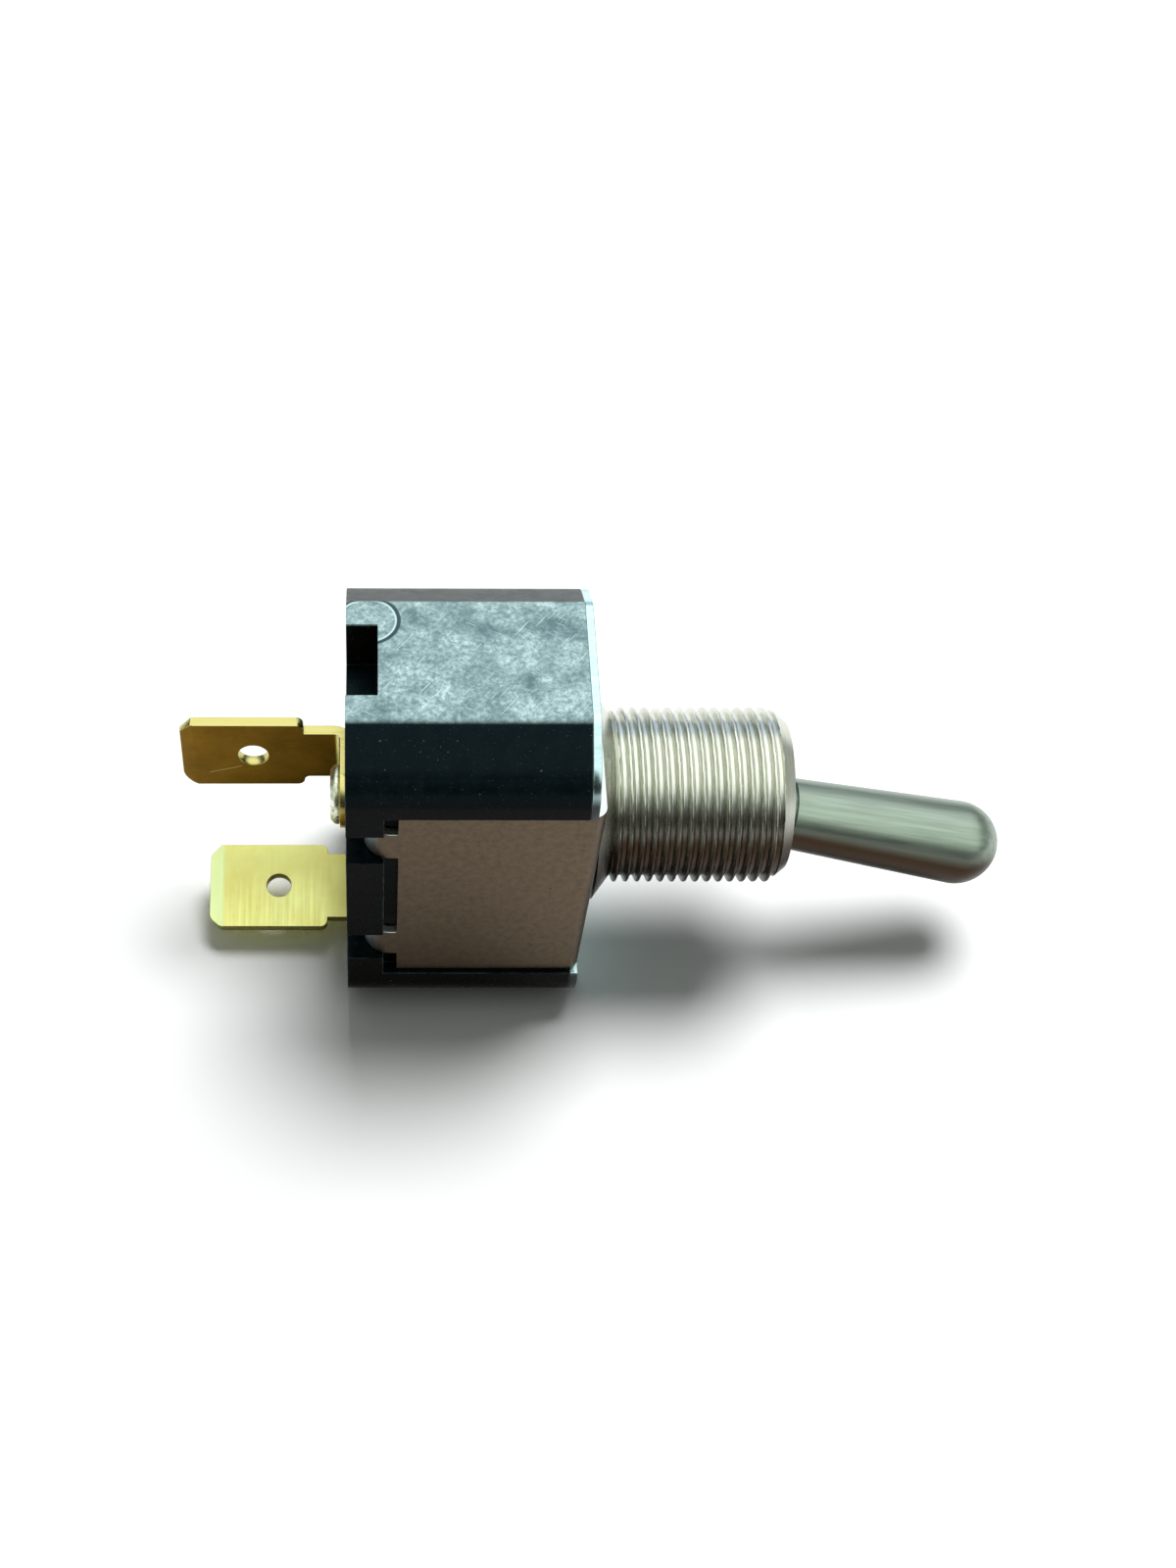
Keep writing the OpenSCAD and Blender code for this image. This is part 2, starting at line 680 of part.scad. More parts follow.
module centre_rivet() {
    foot_out = rear_x + pocket - blade_t;
    tail_x = floor_x + cradle_t;
    color("#b9bba8") {
        about_x(foot_out) cylinder(d = rivet_d, h = tail_x - foot_out);
        about_x(foot_out) mirror([0, 0, 1]) {
            cylinder(d = rivet_head_d, h = rivet_head_t/2);
            translate([0, 0, rivet_head_t/2])
                cylinder(d1 = rivet_head_d, d2 = rivet_head_d - rivet_head_t, h = rivet_head_t/2);
        }
        about_x(tail_x) cylinder(d1 = rivet_tail_d, d2 = rivet_tail_d - rivet_tail_t, h = rivet_tail_t);
    }
}

case();
cover_plate();
insulator();
frame();
bushing();
lever();
pivot_pin();
plunger();
plunger_spring();
contact_rocker();
moving_contact();
cradle();
fixed_contact();
end_terminal();
centre_terminal();
centre_rivet();
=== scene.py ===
import bpy, bmesh, json, math
from mathutils import Matrix, Vector


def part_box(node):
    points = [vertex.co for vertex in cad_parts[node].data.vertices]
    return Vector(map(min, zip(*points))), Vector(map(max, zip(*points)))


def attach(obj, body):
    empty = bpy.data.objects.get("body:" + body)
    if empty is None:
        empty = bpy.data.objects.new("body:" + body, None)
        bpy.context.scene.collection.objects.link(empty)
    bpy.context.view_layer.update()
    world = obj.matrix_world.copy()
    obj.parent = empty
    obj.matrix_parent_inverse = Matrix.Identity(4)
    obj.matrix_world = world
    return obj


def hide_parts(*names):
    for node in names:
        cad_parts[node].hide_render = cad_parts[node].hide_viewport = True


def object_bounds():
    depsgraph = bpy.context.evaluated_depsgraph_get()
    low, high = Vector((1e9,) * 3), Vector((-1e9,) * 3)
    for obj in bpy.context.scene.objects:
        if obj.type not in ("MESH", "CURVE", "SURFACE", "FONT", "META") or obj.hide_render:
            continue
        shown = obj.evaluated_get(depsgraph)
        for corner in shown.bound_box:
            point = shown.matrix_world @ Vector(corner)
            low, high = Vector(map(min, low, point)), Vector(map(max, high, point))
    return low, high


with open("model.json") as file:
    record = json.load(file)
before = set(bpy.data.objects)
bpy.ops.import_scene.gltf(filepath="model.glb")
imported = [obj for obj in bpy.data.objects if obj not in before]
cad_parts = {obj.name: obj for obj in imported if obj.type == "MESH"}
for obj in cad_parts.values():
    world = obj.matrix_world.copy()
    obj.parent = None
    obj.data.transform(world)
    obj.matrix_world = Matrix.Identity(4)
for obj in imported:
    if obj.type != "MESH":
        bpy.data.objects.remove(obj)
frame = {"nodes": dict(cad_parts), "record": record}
cad_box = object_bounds()
nodes = frame["nodes"]
scene = bpy.context.scene
scene.view_settings.view_transform = "Standard"
MM = 0.001

# The frame's X runs along the bushing to the lever tip; X = 0 is the strap's front face.
BUSHING_TAIL, BUSHING_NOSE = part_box("bushing")[0][0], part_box("bushing")[1][0]
PIVOT = frame["record"]["behaviour"]["joints"][0]["pos_m"][0]
REAR_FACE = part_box("case")[0][0]
END_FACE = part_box("case")[1][2]
FLOOR = cad_box[0][2]

# Quick-connect blades: half their width, the cut corner at the tip and the length to the shoulder.
BLADE_HALF = 3.175 * MM
BLADE_CORNER = 0.75 * MM
BLADE_LENGTH = 8.45 * MM

# Where the strap's ears leave its sides, and where the pale painted reflection on them is full.
EARS_BEGIN = -14.4 * MM
EARS_FULLY_PAINTED = -15.2 * MM

FLOOR_SEEN = 1.12          # brings the lit floor to plain white for the eye and for gloss
PAINTED_SHADE_BROWN = "#3a2c20"           # painted shade: the dark brown put on faces that look down and forward

# Settings that many of the materials' nodes share, and the sockets of a colour mix.
TIMES = {"operation": "MULTIPLY"}
MOST = {"operation": "MAXIMUM"}
SIZE_OF = {"operation": "ABSOLUTE"}
DOT = {"operation": "DOT_PRODUCT", "out": "Value"}
SMOOTH = {"interpolation_type": "SMOOTHSTEP"}
TONES = {"data_type": "RGBA", "out": 2}
ONE, TWO = 6, 7


# ---------------------------------------------------------------- helpers

def linear(hex_colour):
    """sRGB hex to linear RGBA."""
    channels = [int(hex_colour[i:i + 2], 16) / 255 for i in (1, 3, 5)]
    return tuple(c / 12.92 if c <= 0.04045 else ((c + 0.055) / 1.055) ** 2.4 for c in channels) + (1.0,)


def add(tree, kind, sockets=None, out=0, **settings):
    """Adds a node with its settings, values and links; gives the chosen output socket. A value that
    is a string is a hex colour."""
    node = tree.nodes.new(kind)
    for name, value in settings.items():
        setattr(node, name, value)
    for key, value in (sockets or {}).items():
        if isinstance(value, bpy.types.NodeSocket):
            tree.links.new(value, node.inputs[key])
        else:
            node.inputs[key].default_value = linear(value) if isinstance(value, str) else value
    return node.outputs[out] if node.outputs else node


def show(name, mesh):
    """An object for the mesh, in the scene."""
    piece = bpy.data.objects.new(name, mesh)
    scene.collection.objects.link(piece)
    return piece


def new_piece(name, mesh, body, slot, *replaced):
    piece = show(name, mesh)
    if replaced:
        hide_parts(*replaced)
    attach(piece, body)
    return piece


def put_on(piece, material):
    piece.data.materials.clear()
    piece.data.materials.append(material)


def smooth(mesh, degrees):
    """Smooth faces, with creases kept where two faces meet at more than the angle."""
    mesh.polygons.foreach_set("use_smooth", [True] * len(mesh.polygons))
    mesh.set_sharp_from_angle(angle=math.radians(degrees))
    mesh.update()


def evaluated(piece):
    """The piece's mesh with its modifiers applied; the piece itself is removed."""
    depsgraph = bpy.context.evaluated_depsgraph_get()
    mesh = bpy.data.meshes.new_from_object(piece.evaluated_get(depsgraph), depsgraph=depsgraph)
    bpy.data.objects.remove(piece)
    return mesh


def merged_copy(node):
    """A copy of a CAD node's mesh with its triangles joined into whole faces."""
    weld = 0.002 * MM
    flat = math.radians(0.6)
    bm = bmesh.new()
    bm.from_mesh(nodes[node].data)
    bmesh.ops.remove_doubles(bm, verts=bm.verts, dist=weld)
    bmesh.ops.dissolve_limit(bm, angle_limit=flat, verts=bm.verts, edges=bm.edges,
                             use_dissolve_boundaries=False)
    mesh = bpy.data.meshes.new(node + "_merged")
    bm.to_mesh(mesh)
    bm.free()
    return mesh


def eased(node, width, segments=2, reshape=None):
    """The node's shape with its sharp edges eased, as tumbling, plating or moulding leaves them. Only
    edges that turn by more than sharp degrees are eased, so that round walls stay as they are."""
    sharp = 33
    mesh = merged_copy(node)
    if reshape:
        reshape(mesh)
    smooth(mesh, 38)
    piece = show(node + "_eased", mesh)
    bevel = piece.modifiers.new("ease", "BEVEL")
    bevel.width = width
    bevel.segments = segments
    bevel.limit_method = "ANGLE"
    bevel.angle_limit = math.radians(sharp)
    bevel.use_clamp_overlap = True
    bevel.miter_outer = "MITER_ARC"
    weigh = piece.modifiers.new("flat_faces_stay_flat", "WEIGHTED_NORMAL")
    weigh.keep_sharp = False
    weigh.weight = 100
    return evaluated(piece)


# ---------------------------------------------------------------- shapes of the stamped pieces

def blade_corners(node, tip_width, neck_half, sides, shoulder_width, shoulder_reach):
    """The corners of a blade's outline that are rounded: (x, side, reach, width), where reach is how
    far off its edges may lie. The lower pair is at the tip, and sides lists those (-1, 1) whose
    shoulder is rounded too, where the blade widens from its neck."""
    tip_reach = 0.12 * MM
    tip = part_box(node)[0][0]
    corners = [(tip, BLADE_CORNER - BLADE_HALF, tip_reach, tip_width),
               (tip + BLADE_CORNER, -BLADE_HALF, tip_reach, tip_width)]
    for side in sides:
        corners.append((tip + BLADE_LENGTH, side * neck_half, shoulder_reach, shoulder_width))
    return corners


def round_corners(mesh, thickness, corners):
    """Rounds those corners of a flat blade; thickness is the number of the axis that runs through it."""
    side_axis = 3 - thickness
    bm = bmesh.new()
    bm.from_mesh(mesh)
    for x, side, reach, width in corners:
        chosen = []
        for edge in bm.edges:
            one, two = (v.co for v in edge.verts)
            through = abs((two - one)[thickness]) / max(edge.calc_length(), 1e-9)
            middle = (one + two) / 2
            if through > 0.9 and abs(middle.x - x) < reach and abs(middle[side_axis] - side) < reach:
                chosen.append(edge)
        bmesh.ops.bevel(bm, geom=chosen, offset=width, segments=4, profile=0.5, affect="EDGES",
                        clamp_overlap=True)
    bm.to_mesh(mesh)
    bm.free()


def bow_strap(mesh):
    """The strap was pressed square and springs back a little towards the foot of its -Y leg."""
    top, foot, most_back = 8.7 * MM, -9.0 * MM, 0.69 * MM
    fade = 3 * MM
    bend = 3.6 * MM
    for v in mesh.vertices:
        front = min(max((v.co.x + fade) / fade, 0.0), 1.0)
        side = min(max((-v.co.y - bend) / fade, 0.0), 1.0)
        down = max((top - v.co.z) / (top - foot), 0.0)
        v.co.x -= most_back * min(down, 1.05) ** 3 * front * side
    mesh.update()


# ---------------------------------------------------------------- camera, floor and light

def place_camera():
    azimuth, elevation, roll = (math.radians(a) for a in (1.411, 55.010, 1.200))
    stand = Vector((-14.896, -93.811, 121.341)) * MM
    forward = Vector((math.sin(azimuth) * math.cos(elevation), math.cos(azimuth) * math.cos(elevation),
                      -math.sin(elevation)))
    level = Vector((math.cos(azimuth), -math.sin(azimuth), 0))
    upright = level.cross(forward)
    right = level * math.cos(roll) + upright * math.sin(roll)
    up = upright * math.cos(roll) - level * math.sin(roll)
    data = bpy.data.cameras.new("camera")
    data.sensor_width = 36
    data.lens = 51.58
    data.shift_x = 0.1174
    data.shift_y = 0.0747
    data.clip_start = 0.005
    data.clip_end = 20
    camera = show("camera", data)
    camera.matrix_world = Matrix.Translation(stand) @ Matrix((right, up, -forward)).transposed().to_4x4()
    scene.camera = camera


def lay_floor():
    """White sweep: one diffuse colour for the light it gives, a whiter one for the eye and for gloss."""
    reach = 4.0
    mesh = bpy.data.meshes.new("floor")
    rim_highlight_painted = [(-reach, -reach, FLOOR), (reach, -reach, FLOOR), (reach, reach, FLOOR), (-reach, reach, FLOOR)]
    mesh.from_pydata(rim_highlight_painted, [], [(0, 1, 2, 3)])
    floor = show("floor", mesh)
    material = bpy.data.materials.new("matt_white_floor")
    material.use_nodes = True
    tree = material.node_tree
    tree.nodes.clear()
    path = add(tree, "ShaderNodeLightPath").node.outputs
    seen = add(tree, "ShaderNodeMath", {0: path["Is Camera Ray"], 1: path["Is Glossy Ray"]}, **MOST)
    seen = add(tree, "ShaderNodeMath", {0: seen, 1: path["Is Transmission Ray"]}, **MOST)
    plain, bright = (0.7,) * 3 + (1,), (FLOOR_SEEN,) * 3 + (1,)
    colour = add(tree, "ShaderNodeMix", {"Factor": seen, ONE: plain, TWO: bright}, **TONES)
    matt = add(tree, "ShaderNodeBsdfDiffuse", {"Color": colour})
    add(tree, "ShaderNodeOutputMaterial", {"Surface": matt})
    floor.data.materials.append(material)


def hang_soft_box():
    """A round soft box high up and a little behind, aimed at the object. Only matt surfaces see it:
    gloss takes its light from the room's pale patches."""
    towards = Vector((0.20, 0.33, 0.92)).normalized()
    distance, radius, radiance = 0.6, 0.17, 13.0
    data = bpy.data.lights.new("key", "AREA")
    data.shape = "DISK"
    data.size = 2 * radius
    data.energy = radiance * math.pi * math.pi * radius * radius
    data.color = linear("#fdffff")[:3]
    lamp = show("key", data)
    aim = towards.to_track_quat("Z", "Y").to_matrix().to_4x4()
    lamp.matrix_world = Matrix.Translation(towards * distance) @ aim
    lamp.visible_glossy = False


def light_the_room():
    """A dim warm room with pale patches: the ceiling overhead, lit walls to the right and left, a low
    one beyond the lever and a window behind. Gloss sees all of it; matt surfaces take little from it."""
    world = bpy.data.worlds.new("room")
    scene.world = world
    world.use_nodes = True
    tree = world.node_tree
    tree.nodes.clear()
    direction = add(tree, "ShaderNodeTexCoord", out="Generated")
    rise = add(tree, "ShaderNodeVectorMath", {0: direction, 1: (0.0, 0.25, 0.97)}, **DOT)
    share = add(tree, "ShaderNodeMapRange", {"Value": rise, "From Min": 0.0, "From Max": 0.95}, **SMOOTH)
    colour = add(tree, "ShaderNodeMix", {"Factor": share, ONE: "#2a2119", TWO: "#7f8a88"}, **TONES)
    # towards, cosines where the patch starts and is full, its colour and strength
    patches = (((0.10, 0.24, 1.0), 0.48, 0.86, "#f6fbf9", 1.75),
               ((0.62, -0.42, 0.66), 0.85, 0.96, "#e6efe6", 1.65),
               ((-0.86, -0.15, 0.50), 0.84, 0.95, "#eef4e6", 1.2),
               ((0.95, 0.15, 0.12), 0.86, 0.97, "#dfe6dc", 0.52),
               ((0.10, 0.93, 0.30), 0.93, 0.98, "#cfe6ff", 1.0))
    for towards, start, full, tint, gain in patches:
        near = add(tree, "ShaderNodeVectorMath", {0: direction, 1: Vector(towards).normalized()}, **DOT)
        inside = add(tree, "ShaderNodeMapRange", {"Value": near, "From Min": start, "From Max": full},
                     **SMOOTH)
        lit = tuple(gain * channel for channel in linear(tint)[:3]) + (1.0,)
        colour = add(tree, "ShaderNodeMix", {"Factor": inside, ONE: colour, TWO: lit}, **TONES)
    matt = add(tree, "ShaderNodeLightPath").node.outputs["Is Diffuse Ray"]
    strength = add(tree, "ShaderNodeMapRange", {"Value": matt, "To Min": 1.0, "To Max": 0.15})
    ground = add(tree, "ShaderNodeBackground", {"Color": colour, "Strength": strength})
    add(tree, "ShaderNodeOutputWorld", {"Surface": ground})


# ---------------------------------------------------------------- what the materials share

def start_material(name, metallic):
    material = bpy.data.materials.new(name)
    material.use_nodes = True
    tree = material.node_tree
    shader = tree.nodes["Principled BSDF"].inputs
    shader["Metallic"].default_value = metallic
    place = add(tree, "ShaderNodeTexCoord", out="Object")
    return material, tree, shader, place


def finish_surface(tree, shader, colour, roughness, relief, strength, depth):
    """Links the colour and roughness and a relief whose depth is in mm."""
    tree.links.new(colour, shader["Base Color"])
    tree.links.new(roughness, shader["Roughness"])
    bump = add(tree, "ShaderNodeBump", {"Height": relief, "Strength": strength, "Distance": depth * MM})
    tree.links.new(bump, shader["Normal"])


def spread(tree, place, size, detail, rough, stretch=(1, 1, 1), turn=(0.0, 0.0, 0.0)):
    """Noise of a size in mm on the piece's own place, turned and then pulled along its axes."""
    if any(turn):
        place = add(tree, "ShaderNodeMapping", {"Vector": place, "Rotation": turn})
    pulled = add(tree, "ShaderNodeMapping", {"Vector": place, "Scale": stretch})
    return add(tree, "ShaderNodeTexNoise", {"Vector": pulled, "Scale": 1 / (size * MM), "Detail": detail,
                                            "Roughness": rough})


def scratches(tree, place, turn, width, length, amount):
    """Fine straight marks, sized in mm: noise pulled out one way, of which only the crests stay."""
    streak = spread(tree, place, width, 1.0, 0.4, (width / length, 1, 1), turn)
    crest = 1.0 - amount
    return add(tree, "ShaderNodeMapRange", {"Value": streak, "From Min": crest, "From Max": crest + 0.03})


def painted_underside_shade(tree, start, full):
    """0 on faces that look up, 1 on those that look down and forward: where painted shade goes."""
    normal = add(tree, "ShaderNodeTexCoord", out="Normal")
    down = add(tree, "ShaderNodeVectorMath", {0: normal, 1: (0.0, -0.62, -0.78)}, **DOT)
    return add(tree, "ShaderNodeMapRange", {"Value": down, "From Min": start, "From Max": full}, **SMOOTH)


# ---------------------------------------------------------------- phenolic moulding

def painted_lit_groove_floors(tree, place):
    """1 on the sloping floors of the ear grooves: faces turned half sideways, beside the rear edge.
    There the floors get painted light: the ends' pale tone and more gloss.
    """
    normal = add(tree, "ShaderNodeTexCoord", out="Normal")
    sideways = add(tree, "ShaderNodeSeparateXYZ", {0: normal}, out="X")
    sideways = add(tree, "ShaderNodeMath", {0: sideways}, **SIZE_OF)
    along = add(tree, "ShaderNodeSeparateXYZ", {0: place}, out="X")
    # a value, where it gives nothing and where it gives all
    limits = ((sideways, 0.55, 0.62), (sideways, 0.80, 0.73),
              (along, -14.0 * MM, -14.3 * MM), (along, REAR_FACE + 0.1 * MM, REAR_FACE + 0.2 * MM))
    inside = 1.0
    for value, none, full in limits:
        share = add(tree, "ShaderNodeMapRange", {"Value": value, "From Min": none, "From Max": full})
        inside = add(tree, "ShaderNodeMath", {0: inside, 1: share}, **TIMES)
    return inside


def ends_with_painted_reflection(tree, place, grain, cloud):
    """The sparked texture's colour: a pale cloud broken up by the grain, whose pale tone is a painted
    reflection of the light on the black ends, rubbed marks in two directions, and the ejector pin's
    witness, a sunk ring painted dark as painted shade with a rim inside it painted pale as a painted
    highlight. Gives the ring too."""
    drift = spread(tree, place, 6.667, 3.0, 0.6)
    cloudy = add(tree, "ShaderNodeMapRange", {"Value": cloud, "From Min": 0.34, "From Max": 0.70})
    grainy = add(tree, "ShaderNodeMapRange", {"Value": grain, "From Min": 0.36, "From Max": 0.64,
                                              "To Min": 0.30, "To Max": 1.15})
    uneven = add(tree, "ShaderNodeMapRange", {"Value": drift, "From Min": 0.32, "From Max": 0.68,
                                              "To Min": 0.75, "To Max": 1.25})
    pale = add(tree, "ShaderNodeMath", {0: cloudy, 1: grainy}, use_clamp=True, **TIMES)
    pale = add(tree, "ShaderNodeMath", {0: pale, 1: uneven}, use_clamp=True, **TIMES)
    # turn about Z in degrees, length in mm, how much of the face they cover, how pale they are
    for turn, length, amount, strength in ((-52, 2.4, 0.295, 0.95), (28, 1.6, 0.285, 0.8)):
        marks = scratches(tree, place, (0, 0, math.radians(turn)), 0.06, length, amount)
        marks = add(tree, "ShaderNodeMath", {0: marks, 1: strength}, **TIMES)
        pale = add(tree, "ShaderNodeMath", {0: pale, 1: marks}, **MOST)
    middle = (-15.2 * MM, 3.3 * MM, END_FACE)
    rim_radius, rim_half = 1.80 * MM, 0.06 * MM
    ring_radius, ring_half = 2.0 * MM, 0.12 * MM
    across = add(tree, "ShaderNodeVectorMath", {0: place, 1: middle}, out="Value", operation="DISTANCE")
    # painted highlight: the rim inside the ring is painted pale
    rim_highlight_painted = add(tree, "ShaderNodeMath", {0: across, 1: rim_radius, 2: rim_half}, operation="COMPARE")
    rim_highlight_painted = add(tree, "ShaderNodeMath", {0: rim_highlight_painted, 1: 0.9}, **TIMES)
    pale = add(tree, "ShaderNodeMath", {0: pale, 1: rim_highlight_painted}, **MOST)
    ring = add(tree, "ShaderNodeMath", {0: across, 1: ring_radius, 2: ring_half}, operation="COMPARE")
    bare = add(tree, "ShaderNodeMapRange", {"Value": ring, "To Min": 1.0, "To Max": 0.1})
    pale = add(tree, "ShaderNodeMath", {0: pale, 1: bare}, **TIMES)
    # painted reflection: these pale teal tones stand in for the light that the black ends reflect
    end_reflection_painted = add(tree, "ShaderNodeMix", {"Factor": pale, ONE: "#678387", TWO: "#d5f1f2"}, **TONES)
    # painted shade: the sunk ring is painted dark
    dark = add(tree, "ShaderNodeMath", {0: ring, 1: 0.75}, **TIMES)
    return add(tree, "ShaderNodeMix", {"Factor": dark, ONE: end_reflection_painted, TWO: "#2c3a3e"}, **TONES), ring


def polished_sides(tree, place, dust, cloud, painted_shade):
    """The polished faces' colour: nearly black, painted browner and darker as painted shade on faces
    that look down and forward, with nicks, specks and a painted highlight on the edges.
    """
    dusty = add(tree, "ShaderNodeMapRange", {"Value": dust, "From Min": 0.35, "From Max": 0.75})
    body = add(tree, "ShaderNodeMix", {"Factor": dusty, ONE: "#0a1215", TWO: "#121c1f"}, **TONES)
    # painted shade: faces that look down and forward are painted browner and darker
    body = add(tree, "ShaderNodeMix", {"Factor": painted_shade, ONE: body, TWO: "#0b0907"}, **TONES)
    nicks = scratches(tree, place, (0, math.radians(12), math.radians(24)), 0.05, 0.9, 0.26)
    specks = spread(tree, place, 0.1923, 1.0, 0.4)
    specks = add(tree, "ShaderNodeMapRange", {"Value": specks, "From Min": 0.765, "From Max": 0.785})
    nicks = add(tree, "ShaderNodeMath", {0: nicks, 1: specks}, **MOST)
    nicks = add(tree, "ShaderNodeMath", {0: nicks, 1: 0.8}, **TIMES)
    body = add(tree, "ShaderNodeMix", {"Factor": nicks, ONE: body, TWO: "#55646a"}, **TONES)
    # moulded edges and corners painted paler, a painted highlight: where a rounded normal leaves the true
    # one
    rounded = add(tree, "ShaderNodeBevel", {"Radius": 0.11 * MM}, samples=4)
    true_normal = add(tree, "ShaderNodeNewGeometry", out="True Normal")
    agree = add(tree, "ShaderNodeVectorMath", {0: rounded, 1: true_normal}, **DOT)
    edges = add(tree, "ShaderNodeMapRange", {"Value": agree, "From Min": 0.996, "From Max": 0.95})
    patchy = add(tree, "ShaderNodeMapRange", {"Value": cloud, "From Min": 0.42, "From Max": 0.62})
    edge_highlight = add(tree, "ShaderNodeMath", {0: edges, 1: patchy}, **TIMES)
    edge_highlight = add(tree, "ShaderNodeMath", {0: edge_highlight, 1: 0.8}, **TIMES)
    return add(tree, "ShaderNodeMix", {"Factor": edge_highlight, ONE: body, TWO: "#5d6f78"}, **TONES)


def phenolic():
    """Compression-moulded phenolic: hard gloss, nearly black, with painted shade on faces that look
    down and forward: darker, browner and less glossy. The narrow ends keep the mould's sparked
    texture, rubbed by handling, with a pale tone that is a painted reflection of the light; the ear
    grooves' floors take the same pale tone as painted light."""
    material, tree, shader, place = start_material("phenolic_moulding", 0.0)
    shader["Specular Tint"].default_value = linear("#7d9fae")
    painted_shade = painted_underside_shade(tree, 0.2, 0.6)
    groove_painted_light = painted_lit_groove_floors(tree, place)
    # painted shade: faces that look down and forward are given less reflection
    sheen = add(tree, "ShaderNodeMapRange", {"Value": painted_shade, "To Min": 0.15, "To Max": 0.05})
    # painted light: the groove floors are made glossier to look lit
    groove_sheen = add(tree, "ShaderNodeMath", {0: groove_painted_light, 1: 0.8}, **TIMES)
    level = add(tree, "ShaderNodeMath", {0: sheen, 1: groove_sheen}, **MOST)
    tree.links.new(level, shader["Specular IOR Level"])
    height = add(tree, "ShaderNodeSeparateXYZ", {0: place}, out="Z")
    height = add(tree, "ShaderNodeMath", {0: height}, **SIZE_OF)
    ends = add(tree, "ShaderNodeMapRange", {"Value": height, "From Min": END_FACE - 0.20 * MM,
                                            "From Max": END_FACE - 0.04 * MM}, **SMOOTH)
    # painted light: the groove floors take the ends' pale tone
    ends = add(tree, "ShaderNodeMath", {0: ends, 1: groove_painted_light}, **MOST)
    # sizes in mm: the sparks' grain (drawn a little coarse, so that it shows), its cloud and settled dust
    grain = spread(tree, place, 0.303, 3.0, 0.7)
    cloud = spread(tree, place, 1.923, 6.0, 0.72)
    dust = spread(tree, place, 1.111, 5.0, 0.7)
    end_reflection_painted, ring = ends_with_painted_reflection(tree, place, grain, cloud)
    body = polished_sides(tree, place, dust, cloud, painted_shade)
    colour = add(tree, "ShaderNodeMix", {"Factor": ends, ONE: body, TWO: end_reflection_painted}, **TONES)
    gloss = add(tree, "ShaderNodeMapRange", {"Value": dust, "From Min": 0.3, "From Max": 0.7,
                                             "To Min": 0.20, "To Max": 0.34})
    rough = add(tree, "ShaderNodeMapRange", {"Value": grain, "From Min": 0.3, "From Max": 0.7,
                                             "To Min": 0.52, "To Max": 0.40})
    polish = add(tree, "ShaderNodeMix", {"Factor": ends, 2: gloss, 3: rough})
    depth = add(tree, "ShaderNodeMapRange", {"Value": ends, "To Min": 0.12, "To Max": 0.8})
    relief = add(tree, "ShaderNodeMath", {0: grain, 1: cloud}, **MOST)
    relief = add(tree, "ShaderNodeMath", {0: relief, 1: depth}, **TIMES)
    sunk = add(tree, "ShaderNodeMath", {0: ring, 1: 0.6}, **TIMES)
    relief = add(tree, "ShaderNodeMath", {0: relief, 1: sunk}, operation="SUBTRACT")
    finish_surface(tree, shader, colour, polish, relief, 0.45, 0.02)
    return material


# ---------------------------------------------------------------- metals

